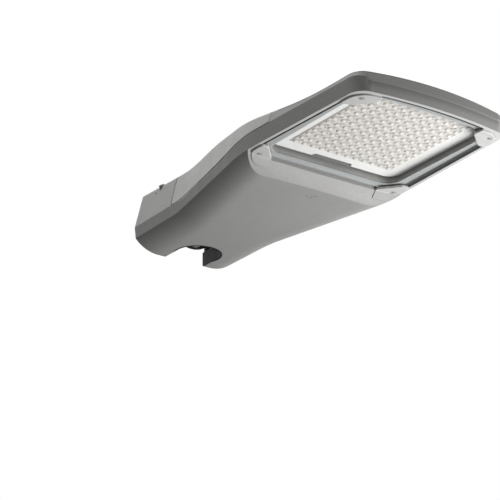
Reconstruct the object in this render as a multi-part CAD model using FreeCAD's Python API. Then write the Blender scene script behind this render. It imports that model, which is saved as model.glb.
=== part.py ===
import FreeCAD, Part
import math
import os

V = FreeCAD.Vector

# Frame: millimetres, +X from the arm towards the light, +Z up, head level.
# The origin is where the tilt axis crosses the axis of the arm tube.

# Plan outline of the band at the rim level, half widths from the middle
rear_x = -44.0
rear_run = 60.0
rear_half = 100.8
flare_x = 91.0
flare_half = 102.8
wide_x = 356.6
wide_half = 155.6
corner_half = 144.8
apex_x = 664.8
front_slope = 0.14
front_round = 800.0
flare_round = 250.0
wide_round = 300.0
corner_round = 27.0

# Plan outline of the leaning upper sides at the belt level
belt_rear_half = 102.3
belt_flare_x = 101.4
belt_flare_half = 105.0
belt_wide_x = 360.0
belt_wide_half = 159.2
belt_corner_half = 148.5
belt_apex_x = 667.2

# Heights
rim_z = -48.2
belt_z = -27.4
belly_z = -69.6
belly_round = 64.2
band_draft = 0.12
side_lean = 0.25
shoulder_round = 5.0
rear_round = 4.5

# Crown of the roof: place along X, height of the middle, height of the shoulder, half width
roof_stations = [
    (-104.0, 56.6, 33.8, 87.5),
    (-54.0, 55.4, 33.1, 88.0),
    (72.7, 52.9, 28.1, 90.0),
    (174.0, 44.4, 21.3, 108.0),
    (275.5, 33.5, 15.9, 128.5),
    (376.9, 17.4, 3.0, 148.0),
    (478.3, 0.5, -10.5, 149.0),
    (579.7, -7.9, -15.9, 146.0),
    (672.6, -9.6, -15.9, 144.0),
]
roof_reach = 165.0

# Nose where the belly rises to the light window: place along Y, top and foot along X
nose_stations = [
    (0.0, 367.5, 345.2),
    (60.0, 367.5, 344.2),
    (115.0, 368.3, 341.5),
    (170.0, 379.0, 337.0),
]
nose_bulge = 1.6

# Walls
skin = 3.0
rear_wall = 4.0
bulkhead_x = 62.0
bulkhead = 4.0
gear_front_x = 338.0

# Seams of the gear cover
seam_rear_x = 72.4
seam_front_x = 432.6
seam_gap = 0.5
rear_seam_gap = 2.0
front_seam_gap = 1.2
cover_gap = 1.7
gasket_free = 0.3
gasket_recess = 1.5
seam_line = [(60.0, -29.9), (175.0, -31.3), (262.0, -31.3), (318.0, -28.6), (378.0, -25.3), (445.0, -24.3)]

# Lips under the two ends of the gear cover
lip_gap = 1.2
lip_thick = 3.5
lip_rear_x = 94.0
lip_front_x = 424.0
lip_foot = 5.0

# Arm clamp that takes a 76 mm tube
arm_tilt = 10.0
tube_bore = 38.1
clamp_wall = 5.9
clamp_in = 22.0
clamp_out = 28.0
flange_radius = 49.0
flange_length = 6.0
boss_radius = 12.0
rib_inner = 51.0
rib_thick = 6.0
seat_gap = 0.3
pivot_radius = 6.0
pivot_running = 0.08
pivot_tip = 39.0
pivot_head = 7.5
pivot_head_flats = 19.0
washer_radius = 14.0
washer_thick = 2.0
clamp_bolt_radius = 4.0
clamp_bolt_tip = 38.3
clamp_bolt_head = 5.3
clamp_bolt_flats = 13.0
clamp_bolt_places = (-10.0, 12.0)
pad_radius = 9.0
pad_height = 1.0

# Slot and mouth for the arm
slot_half = 40.0
well_top_z = -43.0
mouth_radius = 43.0

# Light window
recess_inset = 5.9
recess_rear_x = 365.3
glass_gap = 5.6
glass_sunk = 1.0
glass_thick = 3.0
gasket_thick = 1.0
gasket_inset = 0.6
gasket_width = 8.0
pocket_rear_x = 381.0
pocket_front_x = 635.4
pocket_half = 127.2
pocket_rear_round = 25.0
pocket_front_round = 50.0

# Corner clips, outlines on the +Y side
clip_thick = 4.0
clip_gap = 0.4
clip_roll = 1.2
clip_land = 5.0
heel_proud = 0.8
rear_clip = [(356.0, 106.0), (369.5, 105.8), (402.0, 134.0), (402.6, 147.3), (356.0, 149.3)]
rear_clip_radii = [3.0, 6.0, 6.0, 3.0, 27.0]
rear_clip_screw = (373.5, 134.8)
front_clip = [(596.5, 127.0), (624.0, 96.0), (642.4, 97.0), (639.6, 139.3), (595.6, 141.0)]
front_clip_radii = [6.0, 6.0, 3.0, 30.0, 3.0]
front_clip_screw = (625.1, 125.5)
clip_screw_radius = 2.5
clip_screw_head = 4.4
clip_head_height = 2.4
clip_dish = 6.5
clip_dish_depth = 0.6
clip_screw_depth = 14.0
clip_screw_play = 0.3

# Lights
pitch = 16.9
per_side = 12
field_x = 512.1
plate_z = -32.45
board_thick = 2.0
board_rear_x = 385.9
board_front_x = 634.6
board_half = 126.4
board_rear_round = 21.0
board_front_round = 49.0
notch_half = 38.0
notch_depth = 8.0
notch_round = 4.0
lens_base = 1.8
lens_height = 3.0
lens_foot = 6.0
lens_top = 3.4
lens_sides = 8
lens_plates = 2
plate_gap = 0.4
chip_side = 3.5
chip_height = 0.8
chip_gap = 0.3
lens_screw_radius = 1.25
lens_screw_head = 2.2
lens_head_height = 1.2
lens_screw_depth = 4.0
lens_screw_steps = (-2, 2)

# Canopy over the light
canopy_thick = 2.5
canopy_rear_x = 452.0
canopy_groove = 0.8
canopy_groove_depth = 2.0
canopy_screw_x = (470.0, 628.0)
canopy_screw_y = 100.0
canopy_screw_radius = 2.0
canopy_head_radius = 4.2
canopy_head_height = 2.4
canopy_pad_radius = 6.0
canopy_pad_height = 0.8
canopy_screw_depth = 10.0

# Hinge of the gear cover
hinge_y = 62.0
hinge_lift = 5.5
knuckle_radius = 4.5
cover_knuckle = 16.0
fixed_knuckle = 8.0
knuckle_gap = 0.4
leaf_reach = 18.0
leaf_rise = 1.5
leaf_bury = 7.0
leaf_back = 0.6
pin_radius = 2.0
pin_running = 0.06

# Screws that hold the gear cover shut
cover_screw_x = 83.0
cover_screw_y = 24.0
cover_screw_radius = 2.5
cover_screw_head = 5.0
cover_head_height = 3.0
cover_screw_depth = 16.0
cover_screw_play = 0.3
cover_pad_radius = 7.0
cover_pad_height = 1.2
cover_boss_radius = 6.0
cover_boss_length = 18.0

# Gear inside
tray_z = -58.0
tray_thick = 1.5
tray_rear_x = 80.0
tray_front_x = 328.0
tray_half = 72.0
tray_round = 8.0
post_radius = 6.0
post_inset = 10.0
tray_screw_radius = 2.0
tray_screw_head = 4.0
tray_head_height = 2.4
tray_screw_depth = 8.0
driver_rear_x = 140.0
driver_front_x = 300.0
driver_left_y = 20.0
driver_right_y = -58.0
driver_height = 38.0
driver_round = 3.0
driver_foot = 10.0
driver_foot_thick = 3.0
surge_rear_x = 150.0
surge_front_x = 210.0
surge_right_y = 29.0
surge_left_y = 61.0
surge_height = 28.0
surge_round = 2.0
block_rear_x = 96.0
block_front_x = 118.0
block_height = 20.0
block_ways = 5
block_way = 11.0
block_screw = 3.0
block_entry = 2.5
block_depth = 6.0
gland_z = 8.0
gland_radius = 10.0
gland_flats = 24.0
gland_head = 5.5
gland_nut = 5.0
gland_bore = 5.0
gland_tail = 3.0

# Small features of the casting
cap_x = 22.0
cap_y = 84.0
cap_z = 21.0
cap_radius = 5.2
cap_length = 13.0
cap_roll = 1.8
dimple_x = 6.0
dimple_y = 94.0
dimple_z = 21.0
dimple_radius = 3.6
drain_x = 322.0
drain_y = 9.0
drain_length = 9.0
drain_radius = 1.2
drain_depth = 1.0

far = 400.0
eps = 0.01


def box(x0, x1, y0, y1, z0, z1):
    return Part.makeBox(x1 - x0, y1 - y0, z1 - z0, V(x0, y0, z0))


def rod(start, direction, radius, length):
    return Part.makeCylinder(radius, length, start, direction)


def mirrored(shape):
    return shape.mirror(V(0, 0, 0), V(0, 1, 0))


def both_sides(shape):
    return [shape, mirrored(shape)]


def offset_points(points, grow):
    """Moves each side of an anticlockwise polygon outwards by grow."""
    moved = []
    count = len(points)
    for i in range(count):
        before, here, after = points[i - 1], points[i], points[(i + 1) % count]
        one = V(here[0] - before[0], here[1] - before[1], 0).normalize()
        two = V(after[0] - here[0], after[1] - here[1], 0).normalize()
        normal_one = V(one.y, -one.x, 0)
        normal_two = V(two.y, -two.x, 0)
        bisector = normal_one + normal_two
        step = bisector * (2.0 * grow / bisector.dot(bisector))
        moved.append((here[0] + step.x, here[1] + step.y))
    return moved


def rounded_wire(points, radii, z, grow=0.0):
    """Closed wire of straight sides joined by tangent arcs, its sides moved outwards by grow."""
    points = offset_points(points, grow)
    count = len(points)
    starts = []
    arcs = []
    for i in range(count):
        here = V(points[i][0], points[i][1], z)
        back = (V(points[i - 1][0], points[i - 1][1], z) - here).normalize()
        ahead = (V(points[(i + 1) % count][0], points[(i + 1) % count][1], z) - here).normalize()
        turn = (-back).cross(ahead).z
        radius = radii[i] + grow if turn > 0 else radii[i] - grow
        if radii[i] == 0 or radius < 0.05:
            starts.append((here, here))
            arcs.append(None)
            continue
        half_angle = back.getAngle(ahead) / 2.0
        reach = radius / math.tan(half_angle)
        first = here + back * reach
        last = here + ahead * reach
        inward = (back + ahead).normalize()
        middle = here + inward * (radius / math.sin(half_angle) - radius)
        starts.append((first, last))
        arcs.append(Part.Arc(first, middle, last).toShape())
    edges = []
    for i in range(count):
        if arcs[i]:
            edges.append(arcs[i])
        leave = starts[i][1]
        arrive = starts[(i + 1) % count][0]
        if leave.distanceToPoint(arrive) > eps:
            edges.append(Part.makeLine(leave, arrive))
    return Part.Wire(edges)


def slab(points, radii, z0, z1, grow=0.0):
    face = Part.Face(rounded_wire(points, radii, z0, grow))
    return face.extrude(V(0, 0, z1 - z0))


def side_profile(points, half):
    """Solid with an outline in the XZ plane, as wide as half on each side of the middle."""
    wire = Part.makePolygon([V(x, -half, z) for x, z in points + points[:1]])
    return Part.Face(wire).extrude(V(0, 2 * half, 0))


def plan_points(rear, rear_y, flare, flare_y, wide, wide_y, corner_y, apex):
    """Anticlockwise outline seen from above, from the rear right corner round the pointed front."""
    corner_x = apex - front_slope * corner_y
    right = [(rear, -rear_y), (flare, -flare_y), (wide, -wide_y), (corner_x, -corner_y)]
    left = [(x, -y) for x, y in reversed(right)]
    return right + [(apex, 0.0)] + left


band_points = plan_points(
    rear_x - rear_run, rear_half, flare_x, flare_half, wide_x, wide_half, corner_half, apex_x
)
belt_points = plan_points(
    rear_x - rear_run, belt_rear_half, belt_flare_x, belt_flare_half, belt_wide_x, belt_wide_half,
    belt_corner_half, belt_apex_x
)
side_radii = [0.0, flare_round, wide_round, corner_round]
plan_radii = side_radii + [front_round] + side_radii[::-1]


def tapered(points, level, slope, inset, low, high):
    """Solid between two heights whose sides lean by slope and pass through points at a level."""
    shrink = inset * math.sqrt(1.0 + slope * slope)
    lower = rounded_wire(points, plan_radii, low, slope * (low - level) - shrink)
    upper = rounded_wire(points, plan_radii, high, slope * (high - level) - shrink)
    return Part.makeLoft([lower, upper], True, True)


def crown(drop):
    """Solid under the crowned roof, which lies drop below the outer roof."""
    wires = []
    for x, middle, shoulder, half in roof_stations:
        rise = middle - shoulder
        radius = (half * half + rise * rise) / (2.0 * rise) - drop
        top = middle - drop
        edge = top - radius + math.sqrt(radius * radius - roof_reach * roof_reach)
        left = V(x, -roof_reach, edge)
        right = V(x, roof_reach, edge)
        low_right = V(x, roof_reach, -far)
        low_left = V(x, -roof_reach, -far)
        wires.append(Part.Wire([
            Part.Arc(left, V(x, 0, top), right).toShape(),
            Part.makeLine(right, low_right),
            Part.makeLine(low_right, low_left),
            Part.makeLine(low_left, left),
        ]))
    return Part.makeLoft(wires, True, False)


def belly(inset):
    """Solid over the flat belly, whose edges roll up in one large arc to the band."""
    radius = belly_round - inset
    floor = belly_z + inset
    drop = rim_z - belly_z
    overhang = belly_round - math.sqrt(belly_round ** 2 - (belly_round - drop) ** 2)
    grow = overhang - inset
    right = [
        (rear_x - far, -rear_half),
        (flare_x, -flare_half),
        (wide_x, -wide_half),
        (apex_x + far, -corner_half),
    ]
    left = [(x, -y) for x, y in reversed(right)]
    radii = [0.0, flare_round, wide_round, 0.0, 0.0, wide_round, flare_round, 0.0]
    solid = slab(right + left, radii, floor, far, grow)
    edges = []
    for edge in solid.Edges:
        halfway = (edge.FirstParameter + edge.LastParameter) / 2.0
        across = abs(edge.tangentAt(halfway).y)
        if abs(edge.valueAt(halfway).z - floor) < eps and across < 0.5:
            edges.append(edge)
    return solid.makeFillet(radius, edges)


def shoulder_edges(form):
    """Edges where the roof meets the leaning sides."""
    edges = []
    for edge in form.Edges:
        halfway = (edge.FirstParameter + edge.LastParameter) / 2.0
        place = edge.valueAt(halfway)
        level = abs(edge.tangentAt(halfway).z) < 0.5
        if level and place.z > belt_z + 5.0 and place.x > rear_x - rear_run + 1.0:
            edges.append(edge)
    return edges


def body(inset):
    """The outer form of the head, or the same form with every face moved inwards."""
    lower = tapered(band_points, rim_z, band_draft, inset, belly_z - 5.0, 80.0)
    upper = tapered(belt_points, belt_z, -side_lean, inset, belly_z - 5.0, 62.0)
    form = lower.common(upper).common(crown(inset))
    radius = shoulder_round - inset
    if radius > 0.5:
        form = form.makeFillet(radius, shoulder_edges(form))
    return form.common(belly(inset))


def nose_cut():
    """What is taken away in front of the nose, below the rim. The nose sweeps back towards its ends."""
    wires = []
    for y, top_x, foot_x in mirrored_stations(nose_stations):
        top = V(top_x, y, rim_z)
        foot = V(foot_x, y, belly_z)
        chord = foot - top
        out = V(-chord.z, 0, chord.x).normalize()
        middle = (top + foot) * 0.5 + out * nose_bulge
        below = V(foot.x - 3.0, y, belly_z - 6.0)
        below_front = V(apex_x + far, y, belly_z - 6.0)
        front = V(apex_x + far, y, rim_z)
        wires.append(Part.Wire([
            Part.Arc(top, middle, foot).toShape(),
            Part.makeLine(foot, below),
            Part.makeLine(below, below_front),
            Part.makeLine(below_front, front),
            Part.makeLine(front, top),
        ]))
    return Part.makeLoft(wires, True, False)


def mirrored_stations(stations):
    """Stations from the middle outwards, as one row from the far right to the far left."""
    return [(-y, top, foot) for y, top, foot in stations[:0:-1]] + stations


def above_seam(lift):
    """Everything above the seam line of the gear cover, moved up by lift."""
    points = [(x, z + lift) for x, z in seam_line]
    return side_profile(points + [(seam_line[-1][0], far), (seam_line[0][0], far)], far)


def hexagon(centre, direction, flats, length):
    """Hexagonal prism that stands on centre and grows along direction."""
    radius = flats / math.sqrt(3.0)
    side = V(0, 0, 1) if abs(direction.z) < 0.9 else V(1, 0, 0)
    first = direction.cross(side).normalize()
    second = direction.cross(first)
    corners = []
    for i in range(7):
        angle = math.radians(60.0 * i)
        corners.append(centre + first * (radius * math.cos(angle)) + second * (radius * math.sin(angle)))
    return Part.Face(Part.makePolygon(corners)).extrude(direction * length)


def screw(seat, direction, radius, length, head_radius, head_height):
    """Round headed screw with a hexagon socket. Its head seats at seat, its shank follows direction."""
    shank = rod(seat, direction, radius, length)
    head = rod(seat - direction * head_height, direction, head_radius, head_height)
    socket = hexagon(seat - direction * head_height, direction, head_radius * 0.8, head_height * 0.6)
    return head.cut(socket).fuse(shank).removeSplitter()


def surface_height(x, y):
    """Height of the roof over a place in plan."""
    line = Part.makeLine(V(x, y, -20.0), V(x, y, 120.0))
    return line.common(roof).BoundBox.ZMax


def fuse_all(shapes):
    return shapes[0].multiFuse(shapes[1:]) if len(shapes) > 1 else shapes[0]


# Outer form and the space inside it
roof = crown(0.0)
outer = body(0.0).cut(nose_cut()).cut(box(rear_x - far, rear_x, -far, far, -far, far))
rear_edges = [e for e in outer.Edges if e.BoundBox.XMax < rear_x + eps]
outer = outer.makeFillet(rear_round, rear_edges)
inner = body(skin)
rear_inner_x = rear_x + rear_wall
gear_rear_x = bulkhead_x + bulkhead
rib_outer = rib_inner + rib_thick
up = V(0, 0, 1)

# Hinge axis and what the gear cover sweeps
knuckle_inner_y = hinge_y - cover_knuckle / 2.0 - knuckle_gap - fixed_knuckle
hinge_z = surface_height(seam_front_x, knuckle_inner_y) + hinge_lift
swing_radius = seam_front_x - seam_rear_x


def lid_zone(lift, rear_gap, front_gap):
    """Space of the gear cover: above the seam, inside a cylinder about its hinge, behind the hinge."""
    swing = rod(V(seam_front_x, -far, hinge_z), V(0, 1, 0), swing_radius - rear_gap, 2 * far)
    return above_seam(lift).common(swing).common(box(0, seam_front_x - front_gap, -far, far, -far, far))


# Housing: shell, well for the arm clamp, side pockets and gear space
gear_space = fuse_all([
    box(gear_rear_x, gear_front_x, -far, far, -far, far),
    box(rear_inner_x, gear_rear_x + 1.0, rib_outer, far, -far, far),
    box(rear_inner_x, gear_rear_x + 1.0, -far, -rib_outer, -far, far),
])
clamp_space = box(rear_inner_x, bulkhead_x, -rib_inner, rib_inner, well_top_z, far)
housing = outer.cut(inner.common(gear_space)).cut(inner.common(clamp_space))
slot = fuse_all([
    box(rear_x - 20.0, 0, -slot_half, slot_half, belly_z - 20.0, well_top_z + 1.0),
    rod(V(0, 0, belly_z - 20.0), V(0, 0, 1), slot_half, well_top_z + 1.0 - belly_z + 20.0),
])
mouth = fuse_all([
    box(rear_x - 20.0, rear_inner_x + 1.0, -mouth_radius, mouth_radius, well_top_z, 0),
    rod(V(rear_x - 20.0, 0, 0), V(1, 0, 0), mouth_radius, rear_wall + 21.0),
])
housing = housing.cut(slot).cut(mouth).cut(lid_zone(0.0, 0.0, 0.0))

# Lips that carry the ends of the gear cover
lip_top = body(skin + lip_gap)
lip_bottom = body(skin + lip_gap + lip_thick)
in_skin = body(skin - 0.1)
lip_foot_z = seam_line[0][1] - lip_foot
rear_lip = fuse_all([
    in_skin.common(box(bulkhead_x, seam_rear_x - 1.0, -far, far, lip_foot_z, far)),
    lip_top.common(box(bulkhead_x + 1.0, lip_rear_x, -far, far, lip_foot_z, far)),
    in_skin.common(box(bulkhead_x, lip_rear_x, -far, far, lip_foot_z, seam_line[0][1] - 0.5)),
]).cut(lip_bottom)
front_lip = lip_top.cut(lip_bottom).common(
    box(lip_front_x, seam_front_x + 1.0, -far, far, seam_line[-1][1] - lip_foot, far)
)

# What is added to the housing further on, and what is then cut out of it all at once
added = [rear_lip, front_lip]
removed = []

# Gear cover: the roof between its seams
cover = outer.cut(inner).common(lid_zone(cover_gap, rear_seam_gap, front_seam_gap))

# Gasket between gear cover and housing
gasket_zone = lid_zone(0.0, seam_gap, seam_gap)
side_strip = body(gasket_recess).cut(inner).common(gasket_zone).cut(above_seam(cover_gap - gasket_free))
end_strip = body(skin + gasket_free).cut(lip_top).common(gasket_zone)
cover_gasket = fuse_all([
    side_strip,
    end_strip.common(box(0, lip_rear_x, -far, far, -far, far)),
    end_strip.common(box(lip_front_x, 2 * far, -far, far, -far, far)),
])

# Canopy over the light, with a groove round its edge
canopy_zone = box(canopy_rear_x, 2 * far, -far, far, -far, far)
canopy_seat = crown(canopy_thick)
canopy = outer.cut(canopy_seat).common(canopy_zone)
groove = canopy_seat.cut(crown(canopy_thick + canopy_groove)).cut(body(canopy_groove_depth))
canopy_room = box(canopy_rear_x - seam_gap, 2 * far, -far, far, -far, far)
housing = housing.cut(outer.cut(canopy_seat).common(canopy_room))
removed.append(groove.common(canopy_zone))
canopy_screws = []
for x in canopy_screw_x:
    for y in (-canopy_screw_y, canopy_screw_y):
        top = surface_height(x, y) + canopy_pad_height
        pad_foot = canopy_pad_height + 1.2
        canopy = canopy.fuse(rod(V(x, y, top - pad_foot), up, canopy_pad_radius, pad_foot))
        canopy = canopy.cut(rod(V(x, y, top - 30.0), up, canopy_screw_radius + 0.3, 60.0))
        removed.append(rod(V(x, y, top - canopy_screw_depth), up, canopy_screw_radius, canopy_screw_depth))
        seat = V(x, y, top)
        canopy_screws.append(
            screw(seat, -up, canopy_screw_radius, canopy_screw_depth, canopy_head_radius, canopy_head_height)
        )

# Hinge knuckles, their leaves and pins
fixed_start = hinge_y - cover_knuckle / 2.0 - knuckle_gap - fixed_knuckle
moving_start = hinge_y - cover_knuckle / 2.0
far_start = hinge_y + cover_knuckle / 2.0 + knuckle_gap
hinge_end = far_start + fixed_knuckle


def knuckle(y0, length, toward):
    """Hinge knuckle with a leaf that runs down to the roof, forwards or backwards."""
    end_x = seam_front_x + toward * leaf_reach
    end_z = surface_height(end_x, hinge_y) + leaf_rise
    near_x = seam_front_x + toward * leaf_back
    low = end_z - leaf_rise - leaf_bury
    corners = [
        V(near_x, y0, hinge_z + knuckle_radius - 0.1),
        V(end_x, y0, end_z),
        V(end_x, y0, low),
        V(near_x, y0, low),
    ]
    leaf = Part.Face(Part.makePolygon(corners + corners[:1])).extrude(V(0, length, 0))
    return rod(V(seam_front_x, y0, hinge_z), V(0, 1, 0), knuckle_radius, length).fuse(leaf)


def pin_hole(radius):
    start = V(seam_front_x, fixed_start - 5.0, hinge_z)
    return rod(start, V(0, 1, 0), radius, hinge_end - fixed_start + 10.0)


fixed_leaves = [knuckle(fixed_start, fixed_knuckle, 1.0), knuckle(far_start, fixed_knuckle, 1.0)]
moving_leaf = knuckle(moving_start, cover_knuckle, -1.0).cut(inner)
pin = rod(V(seam_front_x, fixed_start, hinge_z), V(0, 1, 0), pin_radius, hinge_end - fixed_start)
for leaf in fixed_leaves:
    added.extend(both_sides(leaf))
removed.extend(both_sides(pin_hole(pin_radius)))
cover = fuse_all([cover, moving_leaf, mirrored(moving_leaf)])
cover = cover.cut(pin_hole(pin_radius + pin_running)).cut(mirrored(pin_hole(pin_radius + pin_running)))
hinge_pins = both_sides(pin)

# Captive screws at the rear of the gear cover
cover_screws = []
for y in (-cover_screw_y, cover_screw_y):
    surface = surface_height(cover_screw_x, y)
    seat = V(cover_screw_x, y, surface + cover_pad_height)
    shaft = rod(V(cover_screw_x, y, surface - 40.0), up, cover_screw_radius + cover_screw_play, 80.0)
    pad = rod(V(cover_screw_x, y, surface - 1.5), up, cover_pad_radius, cover_pad_height + 1.5)
    foot = surface + cover_pad_height - cover_boss_length
    boss = rod(V(cover_screw_x, y, foot), up, cover_boss_radius, cover_boss_length)
    cover = cover.fuse(pad).cut(shaft)
    added.append(boss.common(lip_top))
    removed.append(shaft)
    cover_gasket = cover_gasket.cut(shaft)
    cover_screws.append(
        screw(seat, -up, cover_screw_radius, cover_screw_depth, cover_screw_head, cover_head_height)
    )

# Clamp of the arm, with its flange, bosses and pads
axis = V(-math.cos(math.radians(arm_tilt)), 0, -math.sin(math.radians(arm_tilt)))
down = V(math.sin(math.radians(arm_tilt)), 0, -math.cos(math.radians(arm_tilt)))
across = V(0, 1, 0)
clamp_radius = tube_bore + clamp_wall
boss_face = rib_inner - seat_gap
spigot_clamp = fuse_all([
    rod(axis * -clamp_in, axis, clamp_radius, clamp_in + clamp_out),
    rod(axis * (clamp_out - flange_length), axis, flange_radius, flange_length),
    rod(V(0, -boss_face, 0), across, boss_radius, 2 * boss_face),
] + [rod(axis * place, down, pad_radius, clamp_radius + pad_height) for place in clamp_bolt_places])
spigot_clamp = spigot_clamp.cut(rod(axis * -far, axis, tube_bore, 2 * far))
clamp_bolts = []
for place in clamp_bolt_places:
    tip = axis * place + down * clamp_bolt_tip
    seat_height = clamp_radius + pad_height
    shank = rod(tip, down, clamp_bolt_radius, seat_height - clamp_bolt_tip)
    head = hexagon(axis * place + down * seat_height, down, clamp_bolt_flats, clamp_bolt_head)
    spigot_clamp = spigot_clamp.cut(rod(axis * place, down, clamp_bolt_radius, far / 4))
    clamp_bolts.append(shank.fuse(head))

# Tilt bolts through the ribs, with washers outside the ribs
washer_face = rib_outer + seat_gap / 2.0
head_face = washer_face + washer_thick
bolt = fuse_all([
    rod(V(0, pivot_tip, 0), across, pivot_radius, head_face - pivot_tip),
    hexagon(V(0, head_face, 0), across, pivot_head_flats, pivot_head),
])
washer = rod(V(0, washer_face, 0), across, washer_radius, washer_thick).cut(
    rod(V(0, 0, 0), across, pivot_radius, far)
)
pivot_bolts = both_sides(bolt)
pivot_washers = both_sides(washer)
spigot_clamp = spigot_clamp.cut(rod(V(0, pivot_tip, 0), across, pivot_radius, far))
spigot_clamp = spigot_clamp.cut(rod(V(0, -pivot_tip, 0), -across, pivot_radius, far))
removed.append(rod(V(0, -rib_outer - 1.0, 0), across, pivot_radius + pivot_running, 2 * rib_outer + 2.0))

# Light window: recess for the glass, corner lands and the pocket of the lights
clip_corners = [(rear_clip_screw, -1.0), (front_clip_screw, 1.0)]


def corner_zone(place, toward, reach, z0, z1):
    """Prism that covers a corner outwards from a slanted line, which runs reach inside its clip screw."""
    out = V(toward, 1.0, 0).normalize()
    along = V(-out.y, out.x, 0)
    start = V(place[0], place[1], z0) - out * reach
    corners = [start + along * 120.0, start - along * 120.0]
    corners = corners + [corner + out * 120.0 for corner in reversed(corners)]
    face = Part.Face(Part.makePolygon(corners + corners[:1]))
    return face.extrude(V(0, 0, z1 - z0))


def window(shrink, z0, z1):
    """Slab with the outline of the light window, shrunk, its corners cut off beside the clip screws."""
    shape = slab(band_points, plan_radii, z0, z1, -(recess_inset + shrink))
    shape = shape.common(box(recess_rear_x + shrink, 2 * far, -far, far, z0, z1))
    for place, toward in clip_corners:
        zone = corner_zone(place, toward, clip_land + shrink, z0 - 1.0, z1 + 1.0)
        shape = shape.cut(zone).cut(mirrored(zone))
    return shape


glass_z = rim_z + glass_sunk
gasket_z = glass_z + glass_thick
land_z = gasket_z + gasket_thick
pocket_top = plate_z + board_thick
pocket_points = [
    (pocket_rear_x, -pocket_half), (pocket_front_x, -pocket_half),
    (pocket_front_x, pocket_half), (pocket_rear_x, pocket_half),
]
pocket_radii = [pocket_rear_round, pocket_front_round, pocket_front_round, pocket_rear_round]
removed.append(window(0.0, belly_z - 5.0, land_z))
removed.append(slab(pocket_points, pocket_radii, belly_z, pocket_top))
glass_pane = window(glass_gap, glass_z, gasket_z)
gasket_edge = glass_gap + gasket_inset
gasket_opening = window(gasket_edge + gasket_width, gasket_z, land_z)
glass_gasket = window(gasket_edge, gasket_z, land_z).cut(gasket_opening)

# Corner clips and their screws
heel_form = outer.copy()
heel_form.translate(V(heel_proud, 0, -heel_proud))
clips = {}
clip_screws = []
for name, points, radii, place in (
    ("rear", rear_clip, rear_clip_radii, rear_clip_screw),
    ("front", front_clip, front_clip_radii, front_clip_screw),
):
    plate = slab(points, radii, glass_z - clip_thick, glass_z)
    rolled = [e for e in plate.Edges if abs(e.CenterOfMass.z - glass_z + clip_thick) < eps]
    plate = plate.makeFillet(clip_roll, rolled)
    if name == "rear":
        plate = plate.fuse(slab(points, radii, belly_z, glass_z).common(heel_form)).removeSplitter()
    outside = V(place[0], place[1], glass_z - clip_thick)
    seat = outside + up * (clip_dish_depth + clip_head_height)
    plate = plate.cut(fuse_all([
        rod(outside, up, clip_screw_radius + clip_screw_play, clip_thick),
        rod(outside, up, clip_screw_head + clip_screw_play, clip_dish_depth + clip_head_height),
        Part.makeCone(clip_dish, clip_screw_head, clip_dish_depth, outside, up),
    ]))
    thread = rod(V(place[0], place[1], glass_z - 1.0), up, clip_screw_radius, clip_screw_depth)
    fixing = screw(seat, up, clip_screw_radius, clip_screw_depth, clip_screw_head, clip_head_height)
    room = slab(points, radii, belly_z - 5.0, glass_z, clip_gap)
    for side, turn in (("left", lambda s: s), ("right", mirrored)):
        clips[name + "_" + side] = turn(plate)
        clip_screws.append(turn(fixing))
        removed.extend([turn(room), turn(thread)])

# Light board with its chips and the lens plates over them
board_points = [
    (board_rear_x, -board_half), (board_front_x, -board_half), (board_front_x, board_half),
    (board_rear_x, board_half), (board_rear_x, notch_half), (board_rear_x + notch_depth, notch_half),
    (board_rear_x + notch_depth, -notch_half), (board_rear_x, -notch_half),
]
board_radii = [board_rear_round, board_front_round, board_front_round, board_rear_round] + [notch_round] * 4
led_board = slab(board_points, board_radii, plate_z, pocket_top)
led_chips = []
lenses = []
steps = [(i - (per_side - 1) / 2.0) * pitch for i in range(per_side)]
plate_span = per_side * pitch / lens_plates
base_z = plate_z - lens_base
lens_screw_length = lens_base + board_thick + lens_screw_depth
lens_screws = []
for i in range(lens_plates):
    for j in range(lens_plates):
        middle_x = field_x + (i - (lens_plates - 1) / 2.0) * plate_span
        middle_y = (j - (lens_plates - 1) / 2.0) * plate_span
        half = (plate_span - plate_gap) / 2.0
        plate = box(middle_x - half, middle_x + half, middle_y - half, middle_y + half, base_z, plate_z)
        domes = []
        grooves = []
        for x in steps:
            if abs(x + field_x - middle_x) > half:
                continue
            groove_half = chip_side / 2.0 + chip_gap
            grooves.append(box(
                field_x + x - groove_half, field_x + x + groove_half, middle_y - half, middle_y + half,
                plate_z - chip_height - chip_gap, plate_z
            ))
            for y in steps:
                if abs(y - middle_y) > half:
                    continue
                foot = []
                top = []
                for k in range(lens_sides + 1):
                    angle = math.radians(360.0 * (k + 0.5) / lens_sides)
                    ray = V(math.cos(angle), math.sin(angle), 0)
                    foot.append(V(field_x + x, y, base_z) + ray * lens_foot)
                    top.append(V(field_x + x, y, base_z - lens_height) + ray * lens_top)
                outlines = [Part.makePolygon(foot), Part.makePolygon(top)]
                domes.append(Part.makeLoft(outlines, True, True))
                chip = chip_side / 2.0
                chip_x = field_x + x
                led_chips.append(
                    box(chip_x - chip, chip_x + chip, y - chip, y + chip, plate_z - chip_height, plate_z)
                )
        plate = fuse_all([plate] + domes).cut(fuse_all(grooves))
        holes = []
        for u in lens_screw_steps:
            for v in lens_screw_steps:
                x = middle_x + u * pitch
                y = middle_y + v * pitch
                hole = rod(V(x, y, base_z), up, lens_screw_radius, lens_screw_length)
                holes.append(hole)
                removed.append(hole)
                head = rod(V(x, y, base_z - lens_head_height), up, lens_screw_head, lens_head_height)
                lens_screws.append(hole.fuse(head))
        led_board = led_board.cut(holes)
        lenses.append(plate.cut(holes))

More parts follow.
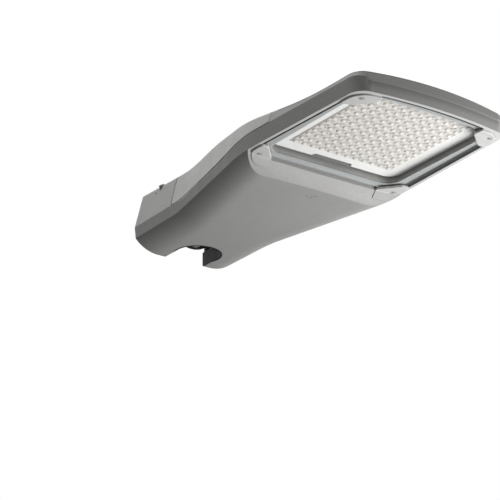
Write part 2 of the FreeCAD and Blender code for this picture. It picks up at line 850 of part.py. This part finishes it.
# Tray on posts, with the driver, the surge protector and the terminals
tray_top = tray_z + tray_thick
tray_points = [
    (tray_rear_x, -tray_half),
    (tray_front_x, -tray_half),
    (tray_front_x, tray_half),
    (tray_rear_x, tray_half),
]
gear_tray = slab(tray_points, [tray_round] * 4, tray_z, tray_top)
tray_screws = []
for x in (tray_rear_x + post_inset, tray_front_x - post_inset):
    for y in (-tray_half + post_inset, tray_half - post_inset):
        thread = rod(V(x, y, tray_top - tray_screw_depth), up, tray_screw_radius, tray_screw_depth)
        post = rod(V(x, y, belly_z + 1.0), up, post_radius, tray_z - belly_z - 1.0)
        added.append(post.common(outer))
        removed.append(thread)
        gear_tray = gear_tray.cut(thread)
        seat = V(x, y, tray_top)
        tray_screws.append(
            screw(seat, -up, tray_screw_radius, tray_screw_depth, tray_screw_head, tray_head_height)
        )


def case(x0, x1, y0, y1, height, radius):
    """Box on the tray with its upright and top edges rounded."""
    shape = box(x0, x1, y0, y1, tray_top, tray_top + height)
    edges = [e for e in shape.Edges if e.CenterOfMass.z > tray_top + eps]
    return shape.makeFillet(radius, edges)


driver = fuse_all([
    case(driver_rear_x, driver_front_x, driver_right_y, driver_left_y, driver_height, driver_round),
    box(
        driver_rear_x - driver_foot,
        driver_front_x + driver_foot,
        driver_right_y + 15.0,
        driver_left_y - 15.0,
        tray_top,
        tray_top + driver_foot_thick,
    ),
])
surge_protector = case(surge_rear_x, surge_front_x, surge_right_y, surge_left_y, surge_height, surge_round)
block_half = block_ways * block_way / 2.0
block_top = tray_top + block_height
terminal_block = box(block_rear_x, block_front_x, -block_half, block_half, tray_top, block_top)
for i in range(block_ways):
    y = (i - (block_ways - 1) / 2.0) * block_way
    x = (block_rear_x + block_front_x) / 2.0
    well = rod(V(x, y, block_top - block_depth), up, block_screw, block_depth)
    entry = rod(V(block_rear_x, y, tray_top + block_height / 3.0), V(1, 0, 0), block_entry, block_depth)
    terminal_block = terminal_block.cut(well).cut(entry)

# Cable gland in the bulkhead
forward = V(1, 0, 0)
gland_hole = rod(V(bulkhead_x - 1.0, 0, gland_z), forward, gland_radius, bulkhead + 2.0)
removed.append(gland_hole)
cable_gland = fuse_all([
    hexagon(V(bulkhead_x, 0, gland_z), -forward, gland_flats, gland_head),
    rod(V(bulkhead_x, 0, gland_z), forward, gland_radius, bulkhead + gland_nut + gland_tail),
    hexagon(V(gear_rear_x, 0, gland_z), forward, gland_flats, gland_nut),
]).cut(rod(V(0, 0, gland_z), forward, gland_bore, far))

# Small features of the casting: side caps with dimples, and three shallow marks on the belly
for turn in (lambda s: s, mirrored):
    lean = V(0, math.sin(math.radians(30.0)), math.cos(math.radians(30.0)))
    cap = rod(V(cap_x, cap_y, cap_z), lean, cap_radius, cap_length)
    foot = V(cap_x, cap_y, cap_z)
    rim = [e for e in cap.Edges if e.Closed and (e.CenterOfMass - foot).Length > cap_length - 1.0]
    cap = cap.makeFillet(cap_roll, rim)
    dimple = Part.makeSphere(dimple_radius, V(dimple_x, dimple_y, dimple_z))
    added.append(turn(cap))
    removed.append(turn(dimple))
for x, y in ((drain_x - 8.0, drain_y), (drain_x, drain_y + 3.0)):
    mark = slab([
        (x - drain_radius, y - drain_length / 2.0), (x + drain_radius, y - drain_length / 2.0),
        (x + 3.0 * drain_radius, y + drain_length / 2.0), (x + drain_radius, y + drain_length / 2.0),
    ], [0.0] * 4, belly_z - 1.0, belly_z + drain_depth)
    removed.append(mark)
removed.append(rod(V(drain_x - 4.0, 0, belly_z), up, drain_radius, drain_depth))
housing = fuse_all([housing] + added).cut(removed)

os.makedirs("parts", exist_ok=True)
nodes = {
    "housing": housing,
    "gear_cover": cover,
    "cover_gasket": cover_gasket,
    "hinge_pins": hinge_pins,
    "cover_screws": cover_screws,
    "canopy": canopy,
    "canopy_screws": canopy_screws,
    "glass_pane": glass_pane,
    "glass_gasket": glass_gasket,
    "clip_screws": clip_screws,
    "led_board": led_board,
    "led_chips": led_chips,
    "lens_screws": lens_screws,
    "gear_tray": gear_tray,
    "tray_screws": tray_screws,
    "driver": driver,
    "surge_protector": surge_protector,
    "terminal_block": terminal_block,
    "cable_gland": cable_gland,
    "spigot_clamp": spigot_clamp,
    "clamp_bolts": clamp_bolts,
    "pivot_bolts": pivot_bolts,
    "pivot_washers": pivot_washers,
}
for name, plate in clips.items():
    nodes["corner_clip_" + name] = plate
for i, plate in enumerate(lenses):
    nodes["lens_plate_" + str(i + 1)] = plate
for name, shape in nodes.items():
    whole = Part.makeCompound(shape) if isinstance(shape, list) else shape
    whole.exportStep(os.path.join("parts", name + ".step"))
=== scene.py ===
import math

import bmesh
import bpy
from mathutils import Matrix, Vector


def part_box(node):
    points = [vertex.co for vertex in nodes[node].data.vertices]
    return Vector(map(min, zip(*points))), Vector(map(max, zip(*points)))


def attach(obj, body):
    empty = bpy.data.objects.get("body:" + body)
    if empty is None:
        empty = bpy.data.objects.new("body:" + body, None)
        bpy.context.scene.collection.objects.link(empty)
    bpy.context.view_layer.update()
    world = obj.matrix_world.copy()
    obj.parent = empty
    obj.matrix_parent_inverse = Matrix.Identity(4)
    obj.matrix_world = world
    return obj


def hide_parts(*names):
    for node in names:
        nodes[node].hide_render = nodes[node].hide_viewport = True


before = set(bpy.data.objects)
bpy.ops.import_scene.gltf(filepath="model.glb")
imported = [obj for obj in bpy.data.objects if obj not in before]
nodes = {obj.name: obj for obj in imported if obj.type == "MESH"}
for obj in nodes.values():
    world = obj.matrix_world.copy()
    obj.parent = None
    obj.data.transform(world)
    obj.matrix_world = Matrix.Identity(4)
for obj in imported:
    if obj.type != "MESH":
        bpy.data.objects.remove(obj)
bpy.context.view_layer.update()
scene = bpy.context.scene

# Camera of the photograph, in metres, with its lens and sensor in millimetres
camera_place = Vector((2.9245, -1.9375, -1.4612))
camera_forward = Vector((-0.7606, 0.5329, 0.3708))
camera_lens = 156.5
sensor_width = 36.0

# Light field, in metres, with its middle at field_x and y 0
pitch = 0.0169
field_x = 0.5121
half_row = 6
lens_foot = 0.0059
lens_top_z = -0.03745
lens_base_z = -0.03425
plate_top_z = -0.03245
plate_slope = 0.0023
lens_rings = 7
lens_sides = 24

# Marks in each lens cell: painted shade, a painted highlight on the warm chip with its halo, and a pin,
# in pitches along x and y from the middle of the cell
shade_place = (0.34, 0.21)
shade_half = (0.15, 0.25)
spot_place = (0.05, -0.14)
spot_half = (0.18, 0.12)
halo_half = (0.26, 0.20)
pin_place = (-0.11, 0.45)
pin_half = (0.07, 0.07)

# How far a lens is shaded as if it faced straight down
lens_flat = 0.90

# Rim round the glass, painted lighter as a painted highlight, in metres
rim_z = -0.0482
rim_near = 0.0004
rim_far = 0.0007
rim_rear_x = 0.3672

# Pocket of the lights above the glass, in metres
pocket_z = -0.0432
pocket_top_z = -0.0304
pocket_rear_x = 0.381
pocket_front_x = 0.6354
pocket_half = 0.1272
pocket_rear_round = 0.025
pocket_front_round = 0.050
pocket_margin = 0.001
# Share of tone taken off the top of the pocket walls as painted shade
pocket_shade_loss = 0.35

# Printed border of the glass, in metres: its overlap over the pocket, its soft edge, and the light
# line that runs along that edge
print_overlap = 0.0015
print_overlap_front = 0.0029
print_fade = 0.0004
print_line_start = 0.0008
print_line_end = 0.0020
print_line_gain = 1.3

# Height above the lower face of the glass from which its cut edge is painted dark as painted shade, in
# metres
flank_dark_from = 0.0010

# How near to a level a point counts as lying on it, in metres
face_depth = 0.0001

# Slot for the arm, whose inside is painted dark as painted shade, in metres
slot_half = 0.0403
mouth_radius = 0.0433
slot_top_z = 0.02

# Top of the painted heels of the corner clips, which are silver above it, in metres
heel_top_z = -0.0514
heel_fade = 0.0002

# How much the gasket of the glass is pressed together, in metres
gasket_squeeze = 0.00015

# Edges rounded by shading, in metres
coat_edge = 0.0012
clip_edge = 0.0006
plastic_edge = 0.0004
metal_edge = 0.0003
board_edge = 0.0003

# Stage: pale floor far below, since the camera looks up at the head. It is paler to the camera alone.
floor_place = (0.3, 0.0, -2.2)
floor_size = 30.0
floor_glow = 0.6
world_strength = 0.02

# Lamps: place and target in metres, width and height in metres, power in watts
lamps = {
    "front": ((0.85, 0.65, -0.62), (0.45, 0.0, -0.05), 0.9, 0.9, 18.5),
    "top": ((0.35, -1.0, 2.4), (0.3, 0.0, 0.0), 2.2, 1.6, 96.0),
}

# Colours, linear
COAT = (0.300, 0.298, 0.291)
# Coat of the gear cover: the coat of the housing painted lighter, as painted light
COVER_LIT = (0.365, 0.363, 0.357)
CLIP = (0.47, 0.47, 0.465)
CLAMP = (0.040, 0.040, 0.042)
SLOT_SHADE = (0.018, 0.018, 0.019)
RIM_HIGHLIGHT = (0.46, 0.46, 0.455)
BOARD = (0.87, 0.865, 0.85)
PRINT = (0.385, 0.400, 0.400)
FLANK_SHADE = (0.045, 0.050, 0.049)
GLASS = (0.985, 0.988, 0.986)
ACRYLIC = (0.72, 0.700, 0.685)
SHADE = (0.42, 0.410, 0.400)
HALO = (0.90, 0.74, 0.62)
SPOT_HIGHLIGHT = (1.0, 0.975, 0.92)
PIN = (0.08, 0.08, 0.08)
RUBBER = (0.014, 0.014, 0.014)
STEEL = (0.60, 0.60, 0.59)
SHEET = (0.70, 0.70, 0.71)
CASE = (0.66, 0.66, 0.67)
ZINC = (0.36, 0.36, 0.355)
WHITE = (0.74, 0.74, 0.73)
CHIP = (0.9, 0.72, 0.25)
SURGE = (0.45, 0.035, 0.02)
BLOCK = (0.72, 0.71, 0.66)
GLAND = (0.02, 0.02, 0.02)
FLOOR = (0.82, 0.82, 0.81)
FLOOR_GLOW = (1.0, 1.0, 0.99)


class Tree:
    """Small helper that builds the node tree of one material."""

    def __init__(self, name):
        self.material = bpy.data.materials.new(name)
        self.material.use_nodes = True
        self.nodes = self.material.node_tree.nodes
        self.links = self.material.node_tree.links
        self.shader = self.nodes["Principled BSDF"]
        self.surface = self.nodes["Material Output"].inputs["Surface"]
        self.coord = self.nodes.new("ShaderNodeTexCoord")

    def feed(self, value, socket):
        """Links a socket, or sets a plain value."""
        if isinstance(value, bpy.types.NodeSocket):
            self.links.new(value, socket)
        else:
            socket.default_value = value

    def set(self, **values):
        for name, value in values.items():
            self.feed(value, self.shader.inputs[name.replace("_", " ")])

    def math(self, operation, a, b=0.0):
        node = self.nodes.new("ShaderNodeMath")
        node.operation = operation
        self.feed(a, node.inputs[0])
        self.feed(b, node.inputs[1])
        return node.outputs[0]

    def product(self, value, *factors):
        for factor in factors:
            value = self.math("MULTIPLY", value, factor)
        return value

    def above(self, value, limit):
        """1 where the value is greater than the limit, otherwise 0."""
        return self.math("GREATER_THAN", value, limit)

    def below(self, value, limit):
        """1 where the value is less than the limit, otherwise 0."""
        return self.math("LESS_THAN", value, limit)

    def within(self, value, half):
        """1 where the value lies between -half and half, otherwise 0."""
        return self.below(self.math("ABSOLUTE", value), half)

    def length(self, a, b):
        """Length of a vector in a plane, from its two parts."""
        return self.math("SQRT", self.math("ADD", self.product(a, a), self.product(b, b)))

    def place(self):
        """The three coordinates of the shaded point, in the frame."""
        node = self.nodes.new("ShaderNodeSeparateXYZ")
        self.links.new(self.coord.outputs["Object"], node.inputs[0])
        return node.outputs

    def noise(self, scale, detail=3.0, rough=0.5, stretch=None):
        node = self.nodes.new("ShaderNodeTexNoise")
        node.inputs["Scale"].default_value = scale
        node.inputs["Detail"].default_value = detail
        node.inputs["Roughness"].default_value = rough
        source = self.coord.outputs["Object"]
        if stretch:
            mapping = self.nodes.new("ShaderNodeMapping")
            mapping.inputs["Scale"].default_value = stretch
            self.links.new(source, mapping.inputs["Vector"])
            source = mapping.outputs[0]
        self.links.new(source, node.inputs["Vector"])
        return node.outputs["Fac"]

    def ramp(self, value, start, end, to_start=0.0, to_end=1.0):
        """Smooth change from to_start to to_end while value goes from start to end."""
        node = self.nodes.new("ShaderNodeMapRange")
        node.interpolation_type = "SMOOTHSTEP"
        node.inputs["From Min"].default_value = start
        node.inputs["From Max"].default_value = end
        node.inputs["To Min"].default_value = to_start
        node.inputs["To Max"].default_value = to_end
        self.links.new(value, node.inputs["Value"])
        return node.outputs["Result"]

    def spread(self, value, least, most):
        """The middle part of a noise value, spread from least to most."""
        return self.ramp(value, 0.3, 0.7, least, most)

    def mix(self, fac, a, b):
        """Colour between a and b."""
        node = self.nodes.new("ShaderNodeMix")
        node.data_type = "RGBA"
        self.feed(fac, node.inputs[0])
        for colour, socket in ((a, node.inputs[6]), (b, node.inputs[7])):
            if not isinstance(colour, bpy.types.NodeSocket):
                colour = (*colour, 1.0)
            self.feed(colour, socket)
        return node.outputs[2]

    def varied(self, colour, value, amount):
        """Colour that varies by amount with a noise value."""
        dark = [c * (1 - amount) for c in colour]
        light = [min(1.0, c * (1 + amount)) for c in colour]
        return self.mix(self.ramp(value, 0.25, 0.75), dark, light)

    def scaled(self, colour, factor):
        """Colour socket times a grey factor."""
        node = self.nodes.new("ShaderNodeVectorMath")
        node.operation = "SCALE"
        self.links.new(colour, node.inputs[0])
        self.links.new(factor, node.inputs["Scale"])
        return node.outputs[0]

    def varied_socket(self, colour, value, amount):
        """The same variation for a colour that is itself a socket."""
        return self.scaled(colour, self.ramp(value, 0.25, 0.75, 1.0 - amount, 1.0 + amount))

    def blend(self, fac, first, second):
        """Mixes two shaders."""
        node = self.nodes.new("ShaderNodeMixShader")
        self.links.new(fac, node.inputs[0])
        self.links.new(first, node.inputs[1])
        self.links.new(second, node.inputs[2])
        return node.outputs[0]

    def pass_shadow(self):
        """Lets light through to what lies behind, as clear plastic does."""
        rays = self.nodes.new("ShaderNodeLightPath")
        clear = self.nodes.new("ShaderNodeBsdfTransparent")
        whole = self.blend(rays.outputs["Is Shadow Ray"], self.shader.outputs[0], clear.outputs[0])
        self.links.new(whole, self.surface)

    def soften(self, flat):
        """Shades a piece partly as if it faced straight down, as light spreads inside clear plastic."""
        down = self.nodes.new("ShaderNodeVectorTransform")
        down.vector_type = "NORMAL"
        down.convert_from = "OBJECT"
        down.convert_to = "WORLD"
        down.inputs[0].default_value = (0.0, 0.0, -1.0)
        true = self.nodes.new("ShaderNodeNewGeometry")
        between = self.nodes.new("ShaderNodeMix")
        between.data_type = "VECTOR"
        between.inputs[0].default_value = flat
        self.links.new(true.outputs["Normal"], between.inputs[4])
        self.links.new(down.outputs[0], between.inputs[5])
        unit = self.nodes.new("ShaderNodeVectorMath")
        unit.operation = "NORMALIZE"
        self.links.new(between.outputs[1], unit.inputs[0])
        self.links.new(unit.outputs[0], self.shader.inputs["Normal"])

    def bump(self, height, strength, distance, edge):
        """Fine relief, over edges that are rounded by edge."""
        node = self.nodes.new("ShaderNodeBump")
        node.inputs["Strength"].default_value = strength
        node.inputs["Distance"].default_value = distance
        self.links.new(height, node.inputs["Height"])
        bevel = self.nodes.new("ShaderNodeBevel")
        bevel.samples = 6
        bevel.inputs["Radius"].default_value = edge
        self.links.new(bevel.outputs[0], node.inputs["Normal"])
        self.links.new(node.outputs[0], self.shader.inputs["Normal"])


def slot_mask(t, x, y, z):
    """1 on the inside of the slot for the arm and of its round end, where painted shade goes."""
    straight = t.product(t.within(y, slot_half), t.below(x, 0.0))
    round_end = t.below(t.length(x, y), mouth_radius)
    return t.product(t.math("MAXIMUM", straight, round_end), t.below(z, slot_top_z))


def rim_highlight_mask(t, x, z):
    """1 on the rim round the glass, where a painted highlight goes."""
    level = t.math("ABSOLUTE", t.math("SUBTRACT", z, rim_z))
    return t.product(t.ramp(level, rim_near, rim_far, 1.0, 0.0), t.above(x, rim_rear_x))


def pocket_shade(t, x, y, z):
    """Painted shade on the walls of the light pocket: the share of their tone that they lose, more of it
    further in.
    """
    sunk = t.product(t.above(z, pocket_z), t.above(x, pocket_rear_x - pocket_margin))
    inside = t.product(sunk, t.within(y, pocket_half + pocket_margin), t.below(z, pocket_top_z))
    return t.product(inside, t.ramp(z, pocket_z, pocket_top_z, 0.0, pocket_shade_loss))


def powder_coat(name, colour, rough=0.5):
    """Cast part in fine powder paint, with speckle and slow changes of tone, painted shade in the slot
    and on the walls of the light pocket, and a painted highlight on the rim.
    """
    t = Tree(name)
    x, y, z = t.place()
    tone = t.varied(colour, t.noise(scale=7.0, detail=4.0), 0.025)
    tone = t.varied_socket(tone, t.noise(scale=520.0, rough=0.7), 0.10)
    # Painted shade: the inside of the slot is painted dark
    tone = t.mix(slot_mask(t, x, y, z), tone, SLOT_SHADE)
    # Painted highlight: the rim round the glass is painted lighter
    tone = t.mix(rim_highlight_mask(t, x, z), tone, RIM_HIGHLIGHT)
    # Painted shade on the walls of the light pocket
    t.set(Base_Color=t.scaled(tone, t.math("SUBTRACT", 1.0, pocket_shade(t, x, y, z))))
    t.set(Roughness=t.spread(t.noise(scale=30.0), rough - 0.05, rough + 0.07), Specular_IOR_Level=0.22)
    t.bump(t.noise(scale=620.0, rough=0.6), strength=0.5, distance=0.0005, edge=coat_edge)
    return t.material


def metal(name, colour, rough, stretch=None):
    """Bare metal, drawn along one axis where stretch is given."""
    t = Tree(name)
    t.set(Metallic=1.0, Base_Color=t.varied(colour, t.noise(scale=150.0), 0.06))
    streak = t.noise(scale=500.0, detail=2.0, stretch=stretch)
    t.set(Roughness=t.spread(streak, rough - 0.07, rough + 0.08))
    relief = t.noise(scale=900.0, detail=2.0, stretch=stretch)
    t.bump(relief, strength=0.15, distance=0.0003, edge=metal_edge)
    return t.material


def plastic(name, colour, rough, grain=0.1, vary=0.03):
    """Moulded plastic, rubber or plain paint."""
    t = Tree(name)
    t.set(Base_Color=t.varied(colour, t.noise(scale=60.0), vary))
    t.set(Roughness=t.spread(t.noise(scale=120.0, detail=2.0), rough - 0.05, rough + 0.05))
    t.bump(t.noise(scale=1200.0, detail=2.0), strength=grain, distance=0.0002, edge=plastic_edge)
    return t.material


def clip_coat():
    """Silver paint with faint drawn streaks, over heels in the paint of the housing."""
    t = Tree("clip_coat")
    streak = t.noise(scale=160.0, detail=4.0, rough=0.6, stretch=(1.0, 0.15, 1.0))
    z = t.place()[2]
    heel = t.ramp(z, heel_top_z - heel_fade, heel_top_z, 1.0, 0.0)
    t.set(Base_Color=t.mix(heel, t.varied(CLIP, streak, 0.05), COAT))
    t.set(Roughness=t.math("ADD", t.spread(streak, 0.40, 0.52), t.product(heel, 0.1)))
    t.set(Specular_IOR_Level=0.3)
    t.bump(t.noise(scale=700.0, detail=2.0), strength=0.15, distance=0.0003, edge=clip_edge)
    return t.material


def board_print():
    """White solder mask with faint lighter copper fields."""
    t = Tree("board_print")
    fields = t.noise(scale=45.0, detail=2.0, rough=0.4)
    t.set(Base_Color=t.varied(BOARD, fields, 0.015), Roughness=0.42, Specular_IOR_Level=0.4)
    t.bump(t.noise(scale=900.0, detail=2.0), strength=0.05, distance=0.0002, edge=board_edge)
    return t.material


def cell(t, axis, middle):
    """Position inside one lens cell along an axis, from -0.5 to 0.5 pitches."""
    along = t.math("DIVIDE", t.math("SUBTRACT", axis, middle), pitch)
    return t.math("SUBTRACT", t.math("FRACT", along), 0.5)


def oval(t, x, y, place, half, soft):
    """1 inside an oval that repeats in each lens cell, falling to 0 over its soft edge."""
    along = t.math("DIVIDE", cell(t, x, field_x + place[0] * pitch), half[0])
    across = t.math("DIVIDE", cell(t, y, place[1] * pitch), half[1])
    return t.ramp(t.length(along, across), 1.0 - soft, 1.0 + soft, 1.0, 0.0)


def lens_print():
    """Clear acrylic over the board: a warm chip in each lens under a painted highlight, painted grey
    shade and small dark pins between.
    """
    t = Tree("lens_print")
    x, y, _ = t.place()
    grime = t.noise(scale=260.0)
    tone = t.varied(ACRYLIC, grime, 0.06)
    # Painted shadow beside each lens
    shade = oval(t, x, y, shade_place, shade_half, soft=0.5)
    tone = t.mix(t.product(shade, 0.75), tone, SHADE)
    halo = oval(t, x, y, spot_place, halo_half, soft=0.5)
    tone = t.mix(t.product(halo, 0.85), tone, HALO)
    # Painted highlight over the warm chip of each lens
    tone = t.mix(oval(t, x, y, spot_place, spot_half, soft=0.3), tone, SPOT_HIGHLIGHT)
    pin = oval(t, x, y, pin_place, pin_half, soft=0.4)
    pin_strength = t.ramp(t.noise(scale=75.0, detail=1.0), 0.35, 0.65, 0.35, 1.0)
    tone = t.mix(t.product(pin, pin_strength), tone, PIN)
    t.set(Base_Color=tone, Roughness=t.spread(grime, 0.22, 0.32), Specular_IOR_Level=0.4)
    t.set(Subsurface_Weight=0.6, Subsurface_Scale=0.003, Subsurface_Radius=(1.0, 1.0, 1.0))
    t.soften(lens_flat)
    t.pass_shadow()
    return t.material


def print_distance(t, x, y):
    """Distance outwards from the inner edge of the printed border, a rectangle with rounded corners."""
    rear_x = pocket_rear_x + print_overlap
    front_x = pocket_front_x - print_overlap_front
    along = t.math("SUBTRACT", x, (rear_x + front_x) / 2.0)
    more_round = t.product(t.above(along, 0.0), pocket_front_round - pocket_rear_round)
    corner = t.math("ADD", more_round, pocket_rear_round)
    past = []
    for part, half in ((along, (front_x - rear_x) / 2.0), (y, pocket_half - print_overlap)):
        inset = t.math("ADD", t.math("SUBTRACT", t.math("ABSOLUTE", part), half), corner)
        past.append(t.math("MAXIMUM", inset, 0.0))
    return t.math("SUBTRACT", t.length(*past), corner)


def glass_print():
    """Clear glass, printed grey on its inner face outside the outline of the light pocket."""
    t = Tree("glass_print")
    x, y, z = t.place()
    distance = print_distance(t, x, y)
    glass_low, glass_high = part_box("glass_pane")
    inner = t.above(z, glass_high[2] - face_depth)
    flank = t.product(t.above(z, glass_low[2] + face_depth), t.math("SUBTRACT", 1.0, inner))
    printed = t.product(t.ramp(distance, 0.0, print_fade), t.math("MAXIMUM", inner, flank))
    side = t.nodes.new("ShaderNodeNewGeometry")
    front = t.math("SUBTRACT", 1.0, side.outputs["Backfacing"])
    # Painted shade on the cut edge of the glass, on its front faces
    dark = t.product(flank, t.above(z, glass_low[2] + flank_dark_from), front)
    line = t.ramp(distance, print_line_start, print_line_end, 1.0, 0.0)
    tone = t.mix(dark, t.mix(line, PRINT, [c * print_line_gain for c in PRINT]), FLANK_SHADE)
    t.set(Base_Color=t.varied_socket(tone, t.noise(scale=90.0, detail=2.0), 0.03))
    t.set(Roughness=0.35, Specular_IOR_Level=0.3)
    clear = t.nodes.new("ShaderNodeBsdfTransparent")
    clear.inputs["Color"].default_value = (*GLASS, 1.0)
    gloss = t.nodes.new("ShaderNodeBsdfGlossy")
    t.feed(t.spread(t.noise(scale=60.0, detail=2.0), 0.015, 0.035), gloss.inputs["Roughness"])
    fresnel = t.nodes.new("ShaderNodeFresnel")
    fresnel.inputs["IOR"].default_value = 1.45
    mirror = t.product(fresnel.outputs[0], front, 0.6)
    pane = t.blend(mirror, clear.outputs[0], gloss.outputs[0])
    t.links.new(t.blend(printed, pane, t.shader.outputs[0]), t.surface)
    return t.material


coat = powder_coat("coat", COAT)
cover_coat = powder_coat("cover_coat", COVER_LIT, 0.46)
clamp_coat = powder_coat("clamp_coat", CLAMP)
rubber = plastic("rubber", RUBBER, 0.7, 0.3, 0.1)
steel = metal("steel", STEEL, 0.36)
sheet = metal("sheet", SHEET, 0.38, (0.1, 1.0, 1.0))
case = metal("case", CASE, 0.42, (1.0, 0.1, 1.0))
zinc = plastic("zinc", ZINC, 0.4)
white_screw = plastic("white_screw", WHITE, 0.35)
chip = plastic("chip", CHIP, 0.4)
surge = plastic("surge", SURGE, 0.4)
block = plastic("block", BLOCK, 0.45)
gland = plastic("gland", GLAND, 0.5)
silver = clip_coat()
board = board_print()
lens = lens_print()
glass = glass_print()

materials = {
    "housing": coat, "gear_cover": cover_coat, "canopy": coat, "cover_gasket": rubber,
    "glass_gasket": rubber, "glass_pane": glass, "hinge_pins": steel, "cover_screws": steel,
    "canopy_screws": steel, "clip_screws": zinc, "led_board": board, "led_chips": chip,
    "lens_screws": white_screw, "gear_tray": sheet, "tray_screws": steel, "driver": case,
    "surge_protector": surge, "terminal_block": block, "cable_gland": gland,
    "spigot_clamp": clamp_coat, "clamp_bolts": steel, "pivot_bolts": steel, "pivot_washers": steel,
    "corner_clip_front_left": silver, "corner_clip_front_right": silver,
    "corner_clip_rear_left": silver, "corner_clip_rear_right": silver,
}
for name, material in materials.items():
    data = nodes[name].data
    data.materials.clear()
    data.materials.append(material)


def plate_body(mesh, low, high):
    """Flat plate with sloped outer edges. Its inner edges lie in the middle of the light field."""
    lower = []
    upper = []
    for x, y in ((low[0], low[1]), (high[0], low[1]), (high[0], high[1]), (low[0], high[1])):
        outer_x = abs(x - field_x) > pitch
        outer_y = abs(y) > pitch
        x_base = x - math.copysign(plate_slope, x - field_x) if outer_x else field_x
        y_base = y - math.copysign(plate_slope, y) if outer_y else 0.0
        lower.append(mesh.verts.new((x_base, y_base, lens_base_z)))
        upper.append(mesh.verts.new((x if outer_x else field_x, y if outer_y else 0.0, plate_top_z)))
    mesh.faces.new(lower[::-1])
    mesh.faces.new(upper)
    for i in range(4):
        j = (i + 1) % 4
        mesh.faces.new((lower[i], lower[j], upper[j], upper[i]))


def dome(mesh, x, y):
    """Smooth cap of a sphere over one light."""
    height = lens_base_z - lens_top_z
    radius = (lens_foot ** 2 + height ** 2) / (2.0 * height)
    foot_angle = math.asin(lens_foot / radius)
    turns = [2.0 * math.pi * s / lens_sides for s in range(lens_sides)]
    rings = []
    for k in range(lens_rings):
        angle = foot_angle * (1.0 - k / lens_rings)
        reach = radius * math.sin(angle)
        z = lens_top_z + radius * (1.0 - math.cos(angle))
        rings.append([
            mesh.verts.new((x + reach * math.cos(turn), y + reach * math.sin(turn), z)) for turn in turns
        ])
    tip = mesh.verts.new((x, y, lens_top_z))
    for outer, inner in zip(rings, rings[1:]):
        for s in range(lens_sides):
            after = (s + 1) % lens_sides
            face = mesh.faces.new((outer[s], inner[s], inner[after], outer[after]))
            face.smooth = True
    for s in range(lens_sides):
        face = mesh.faces.new((rings[-1][s], tip, rings[-1][(s + 1) % lens_sides]))
        face.smooth = True


def lens_plate(name):
    """Plate with six by six smooth domes, in the place of the faceted plate."""
    low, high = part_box(name)
    mesh = bmesh.new()
    plate_body(mesh, low, high)
    for i in range(-half_row, half_row):
        for j in range(-half_row, half_row):
            x = field_x + (i + 0.5) * pitch
            y = (j + 0.5) * pitch
            if low[0] < x < high[0] and low[1] < y < high[1]:
                dome(mesh, x, y)
    bmesh.ops.recalc_face_normals(mesh, faces=mesh.faces)
    data = bpy.data.meshes.new(name + "_smooth")
    mesh.to_mesh(data)
    mesh.free()
    data.materials.append(lens)
    obj = bpy.data.objects.new(name + "_smooth", data)
    scene.collection.objects.link(obj)
    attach(obj, "head")
    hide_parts(name)


for number in range(1, 5):
    lens_plate("lens_plate_%d" % number)

# Gasket of the glass, pressed a little thinner than its solid, so that it clears the print
gasket_data = nodes["glass_gasket"].data.copy()
gasket_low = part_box("glass_gasket")[0][2]
for vertex in gasket_data.vertices:
    if vertex.co.z < gasket_low + face_depth:
        vertex.co.z += gasket_squeeze
gasket = bpy.data.objects.new("glass_gasket_pressed", gasket_data)
scene.collection.objects.link(gasket)
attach(gasket, "head")
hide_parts("glass_gasket")

# Floor, which glows to the camera alone
bpy.ops.mesh.primitive_plane_add(size=floor_size, location=floor_place)
floor = bpy.context.object
floor_tree = Tree("floor")
floor_rays = floor_tree.nodes.new("ShaderNodeLightPath")
pale = floor_tree.product(floor_rays.outputs["Is Camera Ray"], floor_glow)
floor_tree.set(Base_Color=(*FLOOR, 1.0), Roughness=0.9)
floor_tree.set(Emission_Color=(*FLOOR_GLOW, 1.0), Emission_Strength=pale)
floor.data.materials.append(floor_tree.material)

# World: white to the camera, to mirrors and through glass, and otherwise only a faint light
world = bpy.data.worlds.new("world")
scene.world = world
world.use_nodes = True
tree = world.node_tree
tree.nodes.clear()
out = tree.nodes.new("ShaderNodeOutputWorld")
rays = tree.nodes.new("ShaderNodeLightPath")
shown = rays.outputs["Is Camera Ray"]
for name in ("Is Glossy Ray", "Is Transmission Ray"):
    more = tree.nodes.new("ShaderNodeMath")
    more.operation = "MAXIMUM"
    tree.links.new(shown, more.inputs[0])
    tree.links.new(rays.outputs[name], more.inputs[1])
    shown = more.outputs[0]
choose = tree.nodes.new("ShaderNodeMixShader")
tree.links.new(shown, choose.inputs[0])
for socket, strength in ((choose.inputs[1], world_strength), (choose.inputs[2], 1.0)):
    background = tree.nodes.new("ShaderNodeBackground")
    background.inputs["Color"].default_value = (1.0, 1.0, 1.0, 1.0)
    background.inputs["Strength"].default_value = strength
    tree.links.new(background.outputs[0], socket)
tree.links.new(choose.outputs[0], out.inputs["Surface"])


def area(name, place, target, width, height, power):
    """Area lamp that the camera doesn't see."""
    data = bpy.data.lights.new(name, "AREA")
    data.shape = "RECTANGLE"
    data.size = width
    data.size_y = height
    data.energy = power
    lamp = bpy.data.objects.new(name, data)
    scene.collection.objects.link(lamp)
    lamp.location = place
    aim = Vector(target) - Vector(place)
    lamp.rotation_euler = aim.to_track_quat("-Z", "Y").to_euler()
    lamp.visible_camera = False


for name, lamp in lamps.items():
    area(name, *lamp)

cam_data = bpy.data.cameras.new("camera")
cam_data.lens = camera_lens
cam_data.sensor_width = sensor_width
cam = bpy.data.objects.new("camera", cam_data)
scene.collection.objects.link(cam)
cam.location = camera_place
cam.rotation_euler = camera_forward.to_track_quat("-Z", "Y").to_euler()
scene.camera = cam
scene.view_settings.view_transform = "Standard"
